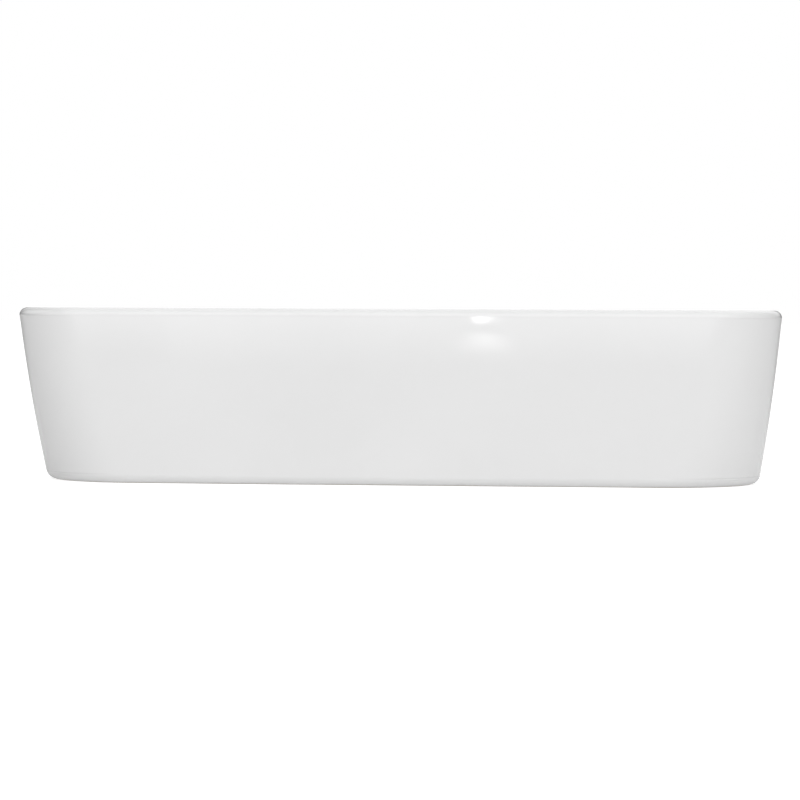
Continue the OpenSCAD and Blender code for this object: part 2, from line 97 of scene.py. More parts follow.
class BasinForm(PropertyGroup):
    """Sizes of the ceramic"""

    width: length("Width", "Width over the bowed ends", side("basin", 0))
    depth: length("Depth", "Depth over the bowed front and back", side("basin", 1))
    height: length("Height", "Height of the rim", side("basin", 2))
    end_bow: length("End Bow", "Swell of the ends beyond their corners", 3.9)
    side_bow: length("Side Bow", "Swell of the front and back beyond their corners", 3)
    rim_corner: length("Rim Corner", "Corner radius at the rim, seen from above", 50)
    foot_corner: length("Foot Corner", "Corner radius at the foot, seen from above", 68)
    lean_rim: angle("Lean at Rim", "Lean of the outer wall under the rim", 5.3)
    lean_foot: angle("Lean at Foot", "Lean of the outer wall at the foot", 9.6)
    rim_wall: length("Rim Wall", "Thickness of the wall at the rim", 12)
    rim_round: length("Rim Round", "Rounding of the rim's outer edge", 5.7)
    rim_inner_round: length("Inner Rim Round", "Rounding of the rim's inner edge", 5)
    foot_round: length("Foot Round", "Rounding of the foot's outer edge", 8.4)
    foot_lip: length("Foot Lip", "Rounding of the foot's inner edge", 2.5)
    skirt_wall: length("Skirt Wall", "Thickness of the skirt at its foot", 16)
    bowl_lean: angle("Bowl Lean", "Lean of the bowl's wall", 8)
    bowl_cove: length("Bowl Cove", "Radius between the bowl's wall and floor", 34)
    cove_corner: length("Cove Corner", "Corner radius at the top of the cove, seen from above", 64)
    floor_corner: length("Floor Corner", "Corner radius of the floor, seen from above", 44)
    floor_slope: angle("Floor Slope", "Slope at which the cove meets the floor", 2)
    floor_fall: length("Floor Fall", "Fall of the floor to the drain", 6)
    floor_wall: length("Floor Wall", "Thickness of the floor at the drain", 12)
    hollow_height: length("Hollow Height", "Height of the hollow under the floor", 34)
    hollow_cove: length("Hollow Cove", "Radius round the hollow's ceiling", 14)
    land_radius: length("Land Radius", "Radius of the flat land round the drain", 37)
    recess_radius: length("Recess Radius", "Radius of the flange's recess", 34)
    recess_depth: length("Recess Depth", "Depth of the flange's recess", 2)
    hole_radius: length("Hole Radius", "Radius of the drain hole", 23)
    edge_round: length("Edge Round", "Rounding of the drain's edges", 0.8)
    glaze_wave: length("Glaze Wave", "How far the slow waves of the glaze reach inwards", 0.04)


class WasteForm(PropertyGroup):
    """Sizes of the waste fitting"""

    water_radius: length("Waterway Radius", "Radius of the waterway", 17.5)
    shank_radius: length("Shank Radius", "Radius of the thread between flange and tail", 19.5)
    flange_thickness: length("Flange Thickness", "Thickness of the flange", 3)
    dish_radius: length("Dish Radius", "Radius of the seat for the plug's seal", 25)
    dish_depth: length("Dish Depth", "Depth of the seat for the plug's seal", 1.2)
    tail_radius: length("Tail Radius", "Radius over the tail's pipe thread", 20.955)
    tail_pitch: length("Tail Pitch", "Pitch of the pipe thread, eleven to the inch", 25.4 / 11)
    tail_thread: length("Tail Thread", "Length of the free pipe thread", 11)
    collar_thickness: length("Collar Thickness", "Thickness of the clamping collar's edge", 3)
    seal_gap: length("Seal Gap", "Gap between a seal and the shank", 0.4)
    thread_gap: length("Thread Gap", "Gap between mating threads", 0.05)
    arms: IntProperty(name="Arms", description="Arms that carry the cartridge", default=3, min=1, max=6)
    arm_width: length("Arm Width", "Width of each arm", 3)
    hub_height: length("Hub Height", "Height of the hub and arms", 6)
    hub_low: length("Hub Bottom", "Height of the hub's underside", 8)
    hub_wall: length("Hub Wall", "Wall of the hub", 3.2)
    sleeve_radius: length("Sleeve Radius", "Outside radius of the cartridge", 8.5)
    chamber_radius: length("Chamber Radius", "Radius of the latch ring's chamber", 7.1)
    stem_radius: length("Stem Radius", "Radius of the stem", 4.75)
    slide_gap: length("Slide Gap", "Gap round the stem", 0.1)
    wire: length("Spring Wire", "Diameter of the spring's wire", 0.7)
    turns: IntProperty(name="Turns", description="Turns of the spring", default=8, min=3, max=20)
    press: length("Press", "Way that the plug travels down", 9.8)
    dome_height: length("Dome Height", "Height of the plug's dome over its edge", 4.5)
    plug_edge: length("Plug Edge", "Thickness of the plug's edge", 2.6)
    plug_skin: length("Plug Skin", "Thickness of the plug's skin", 2)
    hub_radius: length("Plug Hub Radius", "Radius of the plug's hub", 14)
    seal_groove: length("Seal Groove", "Depth of the groove for the plug's seal", 1.5)
    plug_thread: length("Plug Thread", "Radius of the thread in the plug", 4)


class Finishes(PropertyGroup):
    """Colours and gloss"""

    glaze: colour("Glaze", "Colour of the glaze", (0.83, 0.83, 0.83))
    bare_clay: colour("Bare Clay", "Colour of the unglazed foot", (0.66, 0.62, 0.56))
    glaze_roughness: FloatProperty(
        name="Glaze Roughness", description="Roughness of the glaze", default=0.04, subtype="FACTOR", min=0.0, max=1.0
    )
    chrome: colour("Chrome", "Colour of the plated parts", (0.86, 0.87, 0.88))
    brass: colour("Brass", "Colour of the bare brass", (0.78, 0.58, 0.28))
    rubber: colour("Rubber", "Colour of the seals", (0.028, 0.028, 0.03))
    washer: colour("Washer", "Colour of the slip washer", (0.78, 0.78, 0.74))
    latch: colour("Latch", "Colour of the latch ring", (0.74, 0.72, 0.66))
    steel: colour("Steel", "Colour of the spring", (0.58, 0.58, 0.57))


class Studio(PropertyGroup):
    """Camera, lights and floor"""

    camera: FloatVectorProperty(
        name="Camera", description="Place of the camera", default=(0.2389, -2.7022, 0.136), subtype="TRANSLATION"
    )
    heading: angle("Heading", "Turn of the camera about the vertical", 5.284)
    pitch: angle("Pitch", "How far the camera looks down", 1.581)
    roll: angle("Roll", "Turn of the camera about its own axis", 0.258)
    focal: FloatProperty(name="Focal Length", description="Focal length", default=148.166, unit="CAMERA")
    floor: colour("Floor", "Colour of the floor", (0.56, 0.56, 0.56))
    floor_glow: number("Floor Glow", "Light that the lit table gives of itself", 0.28)
    # This share also darkens the floor's own colour away from the object, a painted shade
    floor_far: number("Floor Far", "Share of the lit table's light that is left away from the object", 0.5)
    floor_lift: number("Floor Lift", "How much brighter the floor is in the picture than in reflections", 0.46)
    floor_radius: length("Floor Radius", "Radius of the floor", 30000)
    backdrop: number("Backdrop", "Brightness of the backdrop in the picture", 1.0)
    walls: number("Walls", "Brightness of the studio's ceiling and back wall", 1.65)
    top_share: number("Top Share", "Share of the walls' brightness that is left straight overhead", 0.7)
    front_gain: number("Front Gain", "How much brighter the softbox over the camera is", 1.115)
    left_fall: number("Left Fall", "How much darker the left wall is", 1.65)
    right_fall: number("Right Fall", "How much darker the right wall is", 1.15)
    left_lift: number("Left Lift", "Share of the left fall that reflections from high on the far left show", 0.15)
    right_drop: number("Right Drop", "Share of the right fall that reflections from high on the right show", 1.4)
    back_share: number("Back Share", "Brightness of the walls behind the object in reflections", 0.7)
    spark: number("Spark", "Brightness of the strip light that shows as a spark under the rim", 7.4)
    glow: number("Glow", "Brightness of the round light that shows as a soft glow on the wall", 2.7)
    sheen: number("Sheen", "Brightness of the long light that shows as a pale band under the rim", 1.4)


# Surfaces, each worked out as whole arrays


def rounded(corners, steps=6):
    """A closed profile with every corner turned into an arc.

    A corner is a radius and a height in metres, and its arc's size in millimetres. The arc of size r touches both
    sides r / tan(half the corner's angle) from the point, and its centre lies r / sin(half the angle) along the
    bisector.
    """
    p, size = np.split(np.asarray(corners, float), [2], 1)
    before, after = np.roll(p, 1, 0) - p, np.roll(p, -1, 0) - p
    long_before = np.linalg.norm(before, axis=1)
    long_after = np.linalg.norm(after, axis=1)
    to, off = before / long_before[:, None], after / long_after[:, None]
    half = np.arccos(np.clip((to * off).sum(1), -1, 1)) / 2
    reach = np.minimum(size[:, 0] * MM / np.tan(half), 0.49 * np.minimum(long_before, long_after))
    r = reach * np.tan(half)
    middle = to + off
    middle /= np.maximum(np.linalg.norm(middle, axis=1), 1e-12)[:, None]
    centre = p + middle * (r / np.sin(half))[:, None]
    start = p + to * reach[:, None] - centre
    end = p + off * reach[:, None] - centre
    sweep = math.pi - 2 * half
    t = np.linspace(0, 1, steps)[None, :, None]
    sweep = sweep[:, None, None]
    arc = np.sin((1 - t) * sweep) * start[:, None] + np.sin(t * sweep) * end[:, None]
    points = (centre[:, None] + arc / np.sin(sweep)).reshape(-1, 2)
    keep = np.linalg.norm(points - np.roll(points, 1, 0), axis=1) > 1e-7
    return points[keep]


def dense(profile, step, closed=True):
    """The same profile with points spread evenly along each side, at most step apart.

    A long side also gets a point close to each end, so that the shading of a round stops where the flat begins.
    """
    p = np.vstack([profile, profile[:1]]) if closed else profile
    sides = np.linalg.norm(np.diff(p, axis=0), axis=1)
    place = np.append(0, np.cumsum(sides))
    counts = np.maximum(np.ceil(sides / step - 1e-9).astype(int), 1)
    start = np.repeat(np.arange(len(sides)), counts)
    share = (np.arange(len(start)) - np.repeat(np.cumsum(counts) - counts, counts)) / counts[start]
    tall = np.flatnonzero(sides > 0.8 * step)
    marks = [place[start] + share * sides[start], place[tall] + 0.1 * step, place[tall + 1] - 0.1 * step]
    marks = np.unique(np.concatenate(marks + ([] if closed else [place[-1:]])))
    return np.column_stack([np.interp(marks, place, p[:, k]) for k in range(2)])


def eased(count):
    """Places from 0 to 1 that crowd towards both ends, so that the shading of a round stops where the flat begins.

    They are even places less a share of the sine of their turn.
    """
    t = np.linspace(0, 1, count)
    return t - 0.9 * np.sin(2 * math.pi * t) / (2 * math.pi)


def thread(radius, low, high, pitch, depth):
    """Shift of a radius that cuts a right-hand thread between two heights.

    The groove is a cosine of height less turn, cut flat at crest and root, and it runs out at both ends.
    """
    runout = 0.6 * pitch

    def shift(r, z, turn):
        phase = (z / pitch - turn / (2 * math.pi)) % 1
        wave = np.clip(1.25 * (0.5 - 0.5 * np.cos(2 * math.pi * phase)) - 0.1, 0, 1)
        ends = np.clip((z - low) / runout, 0, 1) * np.clip((high - z) / runout, 0, 1)
        return np.where(np.abs(r - radius) < 1e-6, -depth * wave * ends, 0.0)

    return shift


def hexagon(flats, low, high):
    """Shift of a radius that cuts six flats into a disc between two heights.

    Over a flat, the radius is at most half the width over flats over the cosine of the turn from the flat's middle.
    """

    def shift(r, z, turn):
        flat = flats / 2 / np.cos((turn % (math.pi / 3)) - math.pi / 6)
        inside = (z > low) & (z < high) & (r > flats / 2)
        return np.where(inside, np.minimum(r, flat) - r, 0.0)

    return shift


def add_object(name, data):
    """Object of a mesh, a light or a camera, in the scene."""
    made = bpy.data.objects.new(name, data)
    bpy.context.scene.collection.objects.link(made)
    return made


def close_shell(name, grid, ends="loop"):
    """Mesh object of a grid whose columns go round.

    ends is loop, where the last row joins the first, or poles, where the first and last rows close on their own
    middle points. Faces are turned outwards by the volume's sign.
    """
    rows, columns = grid.shape[:2]
    index = np.arange(rows * columns).reshape(rows, columns)
    upper = np.roll(index, -1, 0) if ends == "loop" else index[1:]
    lower = index if ends == "loop" else index[:-1]
    quads = np.stack([lower, np.roll(lower, -1, 1), np.roll(upper, -1, 1), upper], -1).reshape(-1, 4)
    points = grid.reshape(-1, 3)
    faces = quads.tolist()
    if ends == "poles":
        points = np.vstack([points, grid[0].mean(0), grid[-1].mean(0)])
        first, last = index[0], index[-1]
        low, high = np.full(columns, rows * columns), np.full(columns, rows * columns + 1)
        faces += np.stack([np.roll(first, -1), first, low], -1).tolist()
        faces += np.stack([last, np.roll(last, -1), high], -1).tolist()
    a, b, c, d = (points[quads[:, k]] for k in range(4))
    volume = np.einsum("ij,ij->", a, np.cross(b, c)) + np.einsum("ij,ij->", a, np.cross(c, d))
    if volume < 0:
        faces = [face[::-1] for face in faces]
    mesh = bpy.data.meshes.new(name)
    mesh.from_pydata(points, [], faces)
    mesh.shade_smooth()
    mesh.set_sharp_from_angle(angle=SHARP)
    return add_object(name, mesh)


def turned(name, corners, around, step=None, *shifts, ends="loop", steps=6):
    """Solid turned about Z from the corners of its profile, as rounded takes them.

    around is the count of its columns, step the most that its rows stand apart in millimetres, and steps the count
    of points in an arc. Each shift(radius, height, turn) is added to the radius: a thread, a knurl or a hexagon.
    """
    profile = rounded(corners, steps)
    if step:
        profile = dense(profile, step * MM, closed=ends == "loop")
    turn = np.linspace(0, 2 * math.pi, around, endpoint=False)[None, :]
    r, z = (np.repeat(column[:, None], around, 1) for column in profile.T)
    r = r + sum(shift(r, z, turn) for shift in shifts)
    return close_shell(name, np.stack([r * np.cos(turn), r * np.sin(turn), z], -1), ends)


def ring(inner, outer, low, high, ease):
    """Corners of a flat ring's section, with all its edges eased by ease millimetres."""
    return [(inner, low, ease), (outer, low, ease), (outer, high, ease), (inner, high, ease)]


def join(pieces):
    """One object of several, under the first one's name."""
    with bpy.context.temp_override(active_object=pieces[0], selected_editable_objects=pieces):
        bpy.ops.object.join()
    return pieces[0]


def repaint(piece, material):
    """Gives a piece its one material."""
    piece.data.materials.clear()
    piece.data.materials.append(material)


def dress(piece, material, body, node):
    """Gives a new piece its CAD body and its material, and hides the CAD node that it stands for."""
    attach(piece, body)
    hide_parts(node)
    repaint(piece, material)


# The ceramic shell


def wall_inset(f, z):
    """Inset of the outer wall at height z: the rim's round, then a lean that grows steadily towards the foot."""
    top = f.height - f.rim_round * (1 + math.sin(f.lean_rim))
    s = top - z
    steeper = math.tan(f.lean_foot) - math.tan(f.lean_rim)
    return f.rim_round * (1 - math.cos(f.lean_rim)) + s * math.tan(f.lean_rim) + steeper * s**2 / (2 * top)


def stations(inset, height, corner, share=1.0, circle=0.0):
    """Rows of [inset, height, corner radius, share of the outline, radius of the circle that it blends with]."""
    return np.stack(np.broadcast_arrays(inset, height, corner, share, circle), -1).astype(float)


def bend(radius, start, end, count):
    """How far the points of an arc lie from either side of the square corner that it rounds."""
    t = np.linspace(start, end, count)
    return radius * (1 - np.cos(t)), radius * (1 - np.sin(t))


def shell_stations(f):
    """The profile of the casting, from the drain's underside round the foot and the rim back to the drain hole."""
    land, ceiling = f.land_radius, f.hollow_height + f.floor_fall

    def skirt(z):
        return wall_inset(f, z) + f.skirt_wall + (f.floor_wall - f.skirt_wall) * z / ceiling

    s = eased(17)
    low_corner = f.foot_corner - f.skirt_wall - f.hollow_cove
    z = f.hollow_height + f.floor_fall * s
    under_floor = stations(skirt(ceiling) + f.hollow_cove, z, low_corner, s, land)
    down, out = bend(f.hollow_cove, 0, math.pi / 2, 17)
    z, out = ceiling - down[1:], out[1:]
    hollow = stations(skirt(z) + out, z, f.foot_corner - f.skirt_wall - out)
    out, z = bend(f.foot_lip, 0, math.pi / 2, 9)
    lip = stations(skirt(0.0) - out, z, f.foot_corner - f.skirt_wall + out)
    foot_z = f.foot_round * (1 - math.sin(f.lean_foot))
    foot_inset = wall_inset(f, foot_z) - f.foot_round * (1 - math.cos(f.lean_foot))
    e, z = bend(f.foot_round, math.pi / 2, f.lean_foot, 21)
    foot = stations(foot_inset + e, z, f.foot_corner)
    wall_top = f.height - f.rim_round * (1 + math.sin(f.lean_rim))
    z = foot_z + (wall_top - foot_z) * eased(41)[1:]
    wall = stations(wall_inset(f, z), z, f.foot_corner + (f.rim_corner - f.foot_corner) * z / f.height)
    e, down = bend(f.rim_round, -f.lean_rim, math.pi / 2, 29)
    rim = stations(e, f.height - down, f.rim_corner - e)[1:]
    out, down = bend(f.rim_inner_round, math.pi / 2, -f.bowl_lean, 27)
    e = f.rim_wall - out
    inner_rim = stations(e, f.height - down, f.rim_corner - e)
    bowl_top = f.height - f.rim_inner_round * (1 + math.sin(f.bowl_lean))
    bowl_edge = f.rim_wall - f.rim_inner_round * (1 - math.cos(f.bowl_lean))
    land_z = f.hollow_height + f.floor_wall + f.recess_depth
    cove_z = land_z + f.floor_fall + f.bowl_cove * math.cos(f.floor_slope)
    cove_low = cove_z - f.bowl_cove * math.sin(f.bowl_lean)
    s = eased(31)[1:]
    z = bowl_top + (cove_low - bowl_top) * s
    corner = f.rim_corner - bowl_edge + (f.cove_corner - f.rim_corner + bowl_edge) * s
    bowl = stations(bowl_edge + (bowl_top - z) * math.tan(f.bowl_lean), z, corner)
    cove_inset = bowl[-1, 0] + f.bowl_cove * math.cos(f.bowl_lean)
    s = np.linspace(0, 1, 33)[1:]
    t = f.bowl_lean + (math.pi / 2 - f.floor_slope - f.bowl_lean) * s
    corner = f.cove_corner + (f.floor_corner - f.cove_corner) * s
    cove = stations(cove_inset - f.bowl_cove * np.cos(t), cove_z - f.bowl_cove * np.sin(t), corner)
    s = 1 - eased(25)[1:]
    floor_inset = cove_inset - f.bowl_cove * math.sin(f.floor_slope)
    floor = stations(floor_inset, land_z + f.floor_fall * s, f.floor_corner, s, land)
    seat_z = f.hollow_height + f.floor_wall
    ease, beyond = f.edge_round / MM, 2 * land
    corners = [
        (beyond, land_z, 0),
        (f.recess_radius + f.recess_depth, land_z, 1.5 * ease),
        (f.recess_radius, seat_z, ease),
        (f.hole_radius, seat_z, ease),
        (f.hole_radius, f.hollow_height, ease),
        (beyond, f.hollow_height, 0),
    ]
    drain = rounded(corners)
    drain = drain[drain[:, 0] < land]
    # A share of 0 leaves the circle alone, so the inset and the corner of these rows don't count
    hole = stations(0.1, drain[:, 1], 0.05, 0.0, drain[:, 0])
    return np.vstack([under_floor, hollow, lip, foot, wall, rim, inner_rim, bowl, cove, floor, hole])


def outline_template(corner_steps, long_steps, short_steps):
    """The walk round a rounded rectangle, as the place of the corner's centre (-1 to 1 each way) and its angle.

    Along an arc the angle turns and the centre stays; along a side the centre moves and the angle stays.
    """
    centres = np.array([(1, 1), (-1, 1), (-1, -1), (1, -1)], float)
    walk = []
    for k in range(4):
        turn = math.pi / 2 * (k + np.linspace(0, 1, corner_steps, endpoint=False))
        walk.append(np.column_stack([np.tile(centres[k], (corner_steps, 1)), turn]))
        steps = long_steps if k % 2 == 0 else short_steps
        s = eased(steps + 1)[:-1, None]
        centre = centres[k] + (centres[(k + 1) % 4] - centres[k]) * s
        walk.append(np.column_stack([centre, np.full(steps, math.pi / 2 * (k + 1))]))
    return np.vstack(walk)


def shell_grid(f):
    """Grid of the casting: each station's rounded rectangle, swollen along its sides, blended with a circle.

    A side swells by its bow times one less the square of the place along it. Glaze that pooled and thinned
    shifts the surface inwards by up to glaze_wave, as the mean of two slow waves, one round the casting and one
    along its profile.
    """
    walk = outline_template(corner_steps=28, long_steps=60, short_steps=44)
    e, z, r, share, circle = (c[:, None] for c in shell_stations(f).T)
    cx, cy, turn = (c[None, :] for c in walk.T)
    corner = f.rim_corner
    rim_x = cx * (f.width / 2 - corner) + corner * np.cos(turn)
    rim_y = cy * (f.depth / 2 - corner) + corner * np.sin(turn)
    around = np.arctan2(rim_y, rim_x)
    slow = np.sin(19 * around + 40 * z) + np.sin(60 * z + 7 * around + 1.3)
    e = e + f.glaze_wave * (0.5 + 0.25 * slow) * np.clip(z / (20 * MM), 0, 1) * (share == 1)
    a, b = f.width / 2 - f.end_bow - e, f.depth / 2 - f.side_bow - e
    x = cx * (a - r) + r * np.cos(turn)
    y = cy * (b - r) + r * np.sin(turn)
    bowed_x = x + f.end_bow * (x / a) * (1 - (y / b) ** 2)
    bowed_y = y + f.side_bow * (y / b) * (1 - (x / a) ** 2)
    x, y, flat = bowed_x, bowed_y, np.hypot(bowed_x, bowed_y)
    x = share * x + (1 - share) * circle * x / flat
    y = share * y + (1 - share) * circle * y / flat
    return np.stack([x, y, np.broadcast_to(z, x.shape)], -1)


# Materials


class Nodes:
    """A node tree under construction, whose patterns read one output of the texture coordinates."""

    def __init__(self, tree, place):
        self.tree = tree
        self.place = self.node("ShaderNodeTexCoord").outputs[place]
        self.times, self.plus, self.less = (partial(self.math, kind) for kind in ("MULTIPLY", "ADD", "SUBTRACT"))

    def node(self, kind, **settings):
        made = self.tree.nodes.new(kind)
        for key, value in settings.items():
            setattr(made, key, value)
        return made

    def set(self, made, **values):
        """Constants on a node's own sockets, with underscores for spaces."""
        for key, value in values.items():
            made.inputs[key.replace("_", " ")].default_value = value

    def link(self, output, target):
        self.tree.links.new(output, target)

    def noise(self, scale, detail=2.0, rough=0.5, stretch=None):
        """Noise of about one over scale metres, stretched along an axis if asked."""
        made = self.node("ShaderNodeTexNoise")
        self.set(made, Scale=scale, Detail=detail, Roughness=rough)
        place = self.place
        if stretch:
            mapping = self.node("ShaderNodeMapping")
            self.set(mapping, Scale=stretch)
            self.link(place, mapping.inputs["Vector"])
            place = mapping.outputs["Vector"]
        self.link(place, made.inputs["Vector"])
        return made.outputs["Fac"]

    def spread(self, value, low, high, start=0.0, end=1.0):
        """A value from start..end mapped onto low..high, held at both ends."""
        made = self.node("ShaderNodeMapRange")
        self.set(made, From_Min=start, From_Max=end, To_Min=low, To_Max=high)
        self.link(value, made.inputs["Value"])
        return made.outputs["Result"]

    def math(self, operation, first, second):
        made = self.node("ShaderNodeMath", operation=operation)
        for socket, value in zip(made.inputs, (first, second)):
            if isinstance(value, (int, float)):
                socket.default_value = value
            else:
                self.link(value, socket)
        return made.outputs["Value"]

    def blend(self, share, first, second):
        """Colour between two colours, which may be sockets."""
        made = self.node("ShaderNodeMix", data_type="RGBA")
        self.link(share, made.inputs["Factor"])
        for socket, value in ((made.inputs[6], first), (made.inputs[7], second)):
            if isinstance(value, bpy.types.NodeSocket):
                self.link(value, socket)
            else:
                socket.default_value = (*value, 1.0)
        return made.outputs[2]

    def shade(self, share, rgb, *factors):
        """Between two shades of one colour, each the colour times a factor."""
        return self.blend(share, *(tuple(min(1.0, c * factor) for c in rgb) for factor in factors))

    def axis(self, name):
        made = self.node("ShaderNodeSeparateXYZ")
        self.link(self.place, made.inputs["Vector"])
        return made.outputs[name]


class Paint(Nodes):
    """A material under construction, reading Object coordinates."""

    def __init__(self, name):
        self.material = bpy.data.materials.new(name)
        self.material.use_nodes = True
        super().__init__(self.material.node_tree, "Object")
        self.shader = self.tree.nodes["Principled BSDF"]

    def emboss(self, height, distance):
        """Bump of a height, with its full depth in metres."""
        made = self.node("ShaderNodeBump")
        self.set(made, Distance=distance)
        self.link(height, made.inputs["Height"])
        self.link(made.outputs["Normal"], self.shader.inputs["Normal"])

    def colour(self, output):
        self.link(output, self.shader.inputs["Base Color"])

    def roughness(self, output):
        self.link(output, self.shader.inputs["Roughness"])


def glaze_material(finish):
    """White glaze that stops in a slightly wavering line at the foot, with bare clay on the flat."""
    paint = Paint("white_glaze")
    cloud = paint.noise(9.0, detail=3.0)
    glaze = paint.shade(paint.spread(cloud, 0, 1, 0.3, 0.7), finish.glaze, 0.985, 1.01)
    grain = paint.noise(1400.0, detail=4.0, rough=0.7)
    clay = paint.shade(grain, finish.bare_clay, 0.8, 1.15)
    waver = paint.spread(paint.noise(70.0), -0.35 * MM, 0.35 * MM)
    bare = paint.spread(paint.plus(paint.axis("Z"), waver), 1, 0, 0.45 * MM, 0.75 * MM)
    paint.colour(paint.blend(bare, glaze, clay))
    gloss = paint.spread(paint.noise(25.0), finish.glaze_roughness * 0.8, finish.glaze_roughness * 1.3, 0.3, 0.7)
    rough = paint.plus(gloss, paint.times(bare, 0.7))
    paint.roughness(rough)
    peel = paint.plus(paint.noise(55.0), paint.times(paint.noise(260.0), 0.04))
    height = paint.plus(peel, paint.times(paint.times(grain, bare), 2.0))
    paint.emboss(height, 0.05 * MM)
    paint.set(paint.shader, IOR=1.52)
    return paint.material


def chrome_material(finish):
    """Plated brass: near mirror, with faint polishing lines round the axis and water marks."""
    paint = Paint("polished_chrome")
    marks = paint.noise(120.0, detail=4.0)
    paint.colour(paint.shade(paint.spread(marks, 0, 1, 0.45, 0.7), finish.chrome, 1, 0.93))
    lines = paint.node("ShaderNodeTexWave", wave_type="RINGS", rings_direction="Z")
    paint.set(lines, Scale=900.0, Distortion=1.5)
    paint.link(paint.place, lines.inputs["Vector"])
    smear = paint.spread(marks, 0.05, 0.14, 0.4, 0.75)
    paint.roughness(paint.plus(smear, paint.times(lines.outputs["Fac"], 0.02)))
    paint.emboss(lines.outputs["Fac"], 0.0002 * MM)
    paint.set(paint.shader, Metallic=1.0)
    return paint.material


def brass_material(finish):
    """Turned brass with tool marks round the axis and a dull bloom."""
    paint = Paint("turned_brass")
    bloom = paint.noise(220.0, detail=4.0)
    paint.colour(paint.shade(bloom, finish.brass, 0.72, 1.08))
    turned = paint.noise(900.0, detail=2.0, stretch=(0.05, 0.05, 3.0))
    paint.roughness(paint.spread(turned, 0.2, 0.42, 0.3, 0.7))
    paint.emboss(turned, 0.01 * MM)
    paint.set(paint.shader, Metallic=1.0)
    return paint.material


def rubber_material(finish):
    """Moulded black rubber with a pale bloom."""
    paint = Paint("black_rubber")
    bloom = paint.noise(160.0, detail=4.0)
    paint.colour(paint.shade(paint.spread(bloom, 0, 1, 0.4, 0.8), finish.rubber, 1, 1.9))
    paint.roughness(paint.spread(bloom, 0.5, 0.72))
    paint.emboss(paint.noise(2200.0, detail=3.0), 0.03 * MM)
    return paint.material


def plastic_material(name, rgb, gloss, through):
    """Natural moulded plastic that lets a little light in."""
    paint = Paint(name)
    flow = paint.noise(180.0, detail=3.0)
    paint.colour(paint.shade(flow, rgb, 0.92, 1.05))
    paint.roughness(paint.spread(flow, gloss, gloss + 0.12))
    paint.emboss(paint.noise(1500.0), 0.01 * MM)
    paint.set(paint.shader, Subsurface_Weight=through, Subsurface_Scale=0.5 * MM)
    return paint.material


def steel_material(finish):
    """Drawn spring wire."""
    paint = Paint("spring_wire")
    drawn = paint.noise(1200.0, detail=3.0)
    paint.colour(paint.shade(drawn, finish.steel, 0.85, 1.1))
    paint.roughness(paint.spread(drawn, 0.2, 0.38))
    paint.emboss(drawn, 0.006 * MM)
    paint.set(paint.shader, Metallic=1.0)
    return paint.material


def floor_material(s):
    """Matte top of a lit table, a little cloudy, whose light fades from 15 cm to 1 m behind the object's middle.

    Its colour fades there too, by the same share: a painted shade that stands in for the unlit studio behind, which
    the glaze reflects. In the picture itself it is lifted to white, as a cleared background is.
    """
    paint = Paint("studio_floor")
    cloud = paint.noise(0.8, detail=3.0)
    # Painted shade: from 15 cm to 1 m behind the object the floor's colour, and its glow, fade to the floor_far share
    painted_fade = paint.spread(paint.axis("Y"), 1, s.floor_far, 0.15, 1.0)
    paint.colour(paint.blend(painted_fade, (0, 0, 0), paint.shade(cloud, s.floor, 0.99, 1.01)))
    in_picture = paint.node("ShaderNodeLightPath").outputs["Is Camera Ray"]
    lift = paint.times(in_picture, paint.spread(painted_fade, 1, s.floor_lift))
    glow = paint.plus(lift, paint.times(painted_fade, s.floor_glow))
    paint.link(glow, paint.shader.inputs["Emission Strength"])
    paint.set(paint.shader, Roughness=0.9, Specular_IOR_Level=0.1, Emission_Color=(1, 1, 1, 1))
    return paint.material


def studio_walls(s):
    """World with a softbox over the camera, whose brightness falls off smoothly to the left, the right and the foot.

    Reflections alone see the back dimmer, the far left paler and the right darker. In the picture itself the world
    is an even, pale backdrop.
    """
    world = bpy.data.worlds.new("studio_walls")
    world.use_nodes = True
    sky = Nodes(world.node_tree, "Generated")
    path = sky.node("ShaderNodeLightPath")
    along, back, up = (sky.axis(name) for name in "XYZ")

    def mirrored(share):
        """A share that counts in reflections alone."""
        return sky.less(1, sky.times(path.outputs["Is Glossy Ray"], sky.less(1, share)))

    lifted = sky.times(sky.spread(up, 0, 1 - s.left_lift, 0, 0.35), sky.spread(along, 1, 0, -0.8, -0.6))
    left = sky.times(sky.spread(along, s.left_fall, 0, -0.6, -0.1), mirrored(sky.less(1, lifted)))
    dropped = sky.spread(up, 1, s.right_drop, 0, 0.35)
    right = sky.times(sky.spread(along, 0, s.right_fall, 0.15, 0.65), mirrored(dropped))
    front = sky.spread(back, s.front_gain, 0, -0.9, -0.3)
    change = sky.less(front, sky.plus(left, right))
    over = sky.times(sky.spread(up, 0, 1, 0.1, 0.25), sky.spread(up, 1, s.top_share, 0.6, 1))
    over = sky.times(over, mirrored(sky.spread(back, 1, s.back_share, 0.7, 0.95)))
    level = sky.times(over, sky.plus(change, s.walls))
    choice = sky.node("ShaderNodeMix", data_type="FLOAT")
    sky.link(path.outputs["Is Camera Ray"], choice.inputs["Factor"])
    sky.link(level, choice.inputs["A"])
    sky.set(choice, B=s.backdrop)
    background = world.node_tree.nodes["Background"]
    sky.set(background, Color=(1, 1, 1, 1))
    sky.link(choice.outputs["Result"], background.inputs["Strength"])
    return world


def lamp(name, shape, wide, high, place, brightness):
    """Area lamp in front of the basin and facing it, which shows only as a reflection, as bright whatever its size."""
    light = bpy.data.lights.new(name, "AREA")
    light.shape = shape
    light.size, light.size_y = wide, high
    light.energy = brightness * math.pi * wide * high * (math.pi / 4 if shape == "ELLIPSE" else 1)
    piece = add_object(name, light)
    piece.matrix_world = Matrix.Translation(place) @ Matrix.Rotation(math.pi / 2, 4, "X")
    piece.visible_camera = False
    piece.visible_diffuse = False


def shared(name):
    """A material that several pieces use, made for the first of them."""
    makers = {"polished_chrome": chrome_material, "turned_brass": brass_material, "black_rubber": rubber_material}
    return bpy.data.materials.get(name) or makers[name](bpy.context.scene.basin_finishes)


# Operators, one for each piece or group of like pieces


